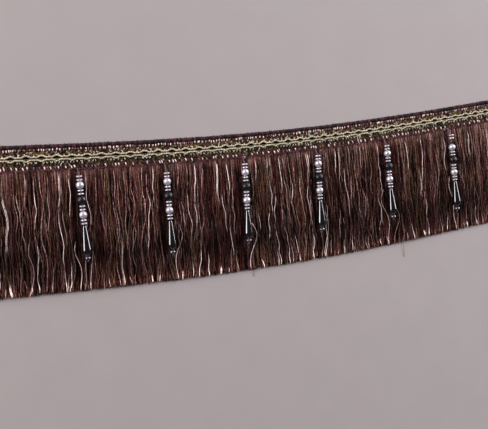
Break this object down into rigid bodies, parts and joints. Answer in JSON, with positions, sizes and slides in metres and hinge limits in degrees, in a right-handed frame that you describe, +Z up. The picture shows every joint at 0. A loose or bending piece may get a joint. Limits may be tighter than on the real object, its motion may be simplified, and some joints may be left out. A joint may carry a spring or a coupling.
{
  "type": "beaded brush fringe trim",
  "caption": "Cut length of furnishing trim laid out flat: a woven braid heading with a dense brush fringe and strung bead drops, for sewing to the edge of curtains, cushions or lampshades.",
  "frame": {"origin": "middle of the lower face of the trim's box, on the surface that it lies on", "axes": "+X along the heading, +Y from the fringe's cut ends towards the heading, +Z up out of the face that shows"},
  "size_m": [0.5716, 0.1306, 0.0112],
  "materials": {
    "braid": "woven brown and pale gold braid, matt with a faint sheen on the raised cords",
    "yarn": "cut spun yarn, dark reddish brown with scattered cream threads",
    "silver_discs": "bright silver-plated spacer discs on a brown thread",
    "pearl": "pearl-coated plastic",
    "black_bead": "polished black",
    "smoke_bead": "polished smoky black"
  },
  "bodies": {
    "root": {"heading": "braid", "fringe": "yarn", "thread_1": "silver_discs", "pearl_upper_1": "pearl", "black_bead_1": "black_bead", "pearl_lower_1": "pearl", "teardrop_1": "black_bead", "end_bead_1": "smoke_bead", "thread_2": "silver_discs", "pearl_upper_2": "pearl", "black_bead_2": "black_bead", "pearl_lower_2": "pearl", "teardrop_2": "black_bead", "end_bead_2": "smoke_bead", "thread_3": "silver_discs", "pearl_upper_3": "pearl", "black_bead_3": "black_bead", "pearl_lower_3": "pearl", "teardrop_3": "black_bead", "end_bead_3": "smoke_bead", "thread_4": "silver_discs", "pearl_upper_4": "pearl", "black_bead_4": "black_bead", "pearl_lower_4": "pearl", "teardrop_4": "black_bead", "end_bead_4": "smoke_bead", "thread_5": "silver_discs", "pearl_upper_5": "pearl", "black_bead_5": "black_bead", "pearl_lower_5": "pearl", "teardrop_5": "black_bead", "end_bead_5": "smoke_bead", "thread_6": "silver_discs", "pearl_upper_6": "pearl", "black_bead_6": "black_bead", "pearl_lower_6": "pearl", "teardrop_6": "black_bead", "end_bead_6": "smoke_bead", "thread_7": "silver_discs", "pearl_upper_7": "pearl", "black_bead_7": "black_bead", "pearl_lower_7": "pearl", "teardrop_7": "black_bead", "end_bead_7": "smoke_bead", "thread_8": "silver_discs", "pearl_upper_8": "pearl", "black_bead_8": "black_bead", "pearl_lower_8": "pearl", "teardrop_8": "black_bead", "end_bead_8": "smoke_bead"}
  },
  "joints": []
}
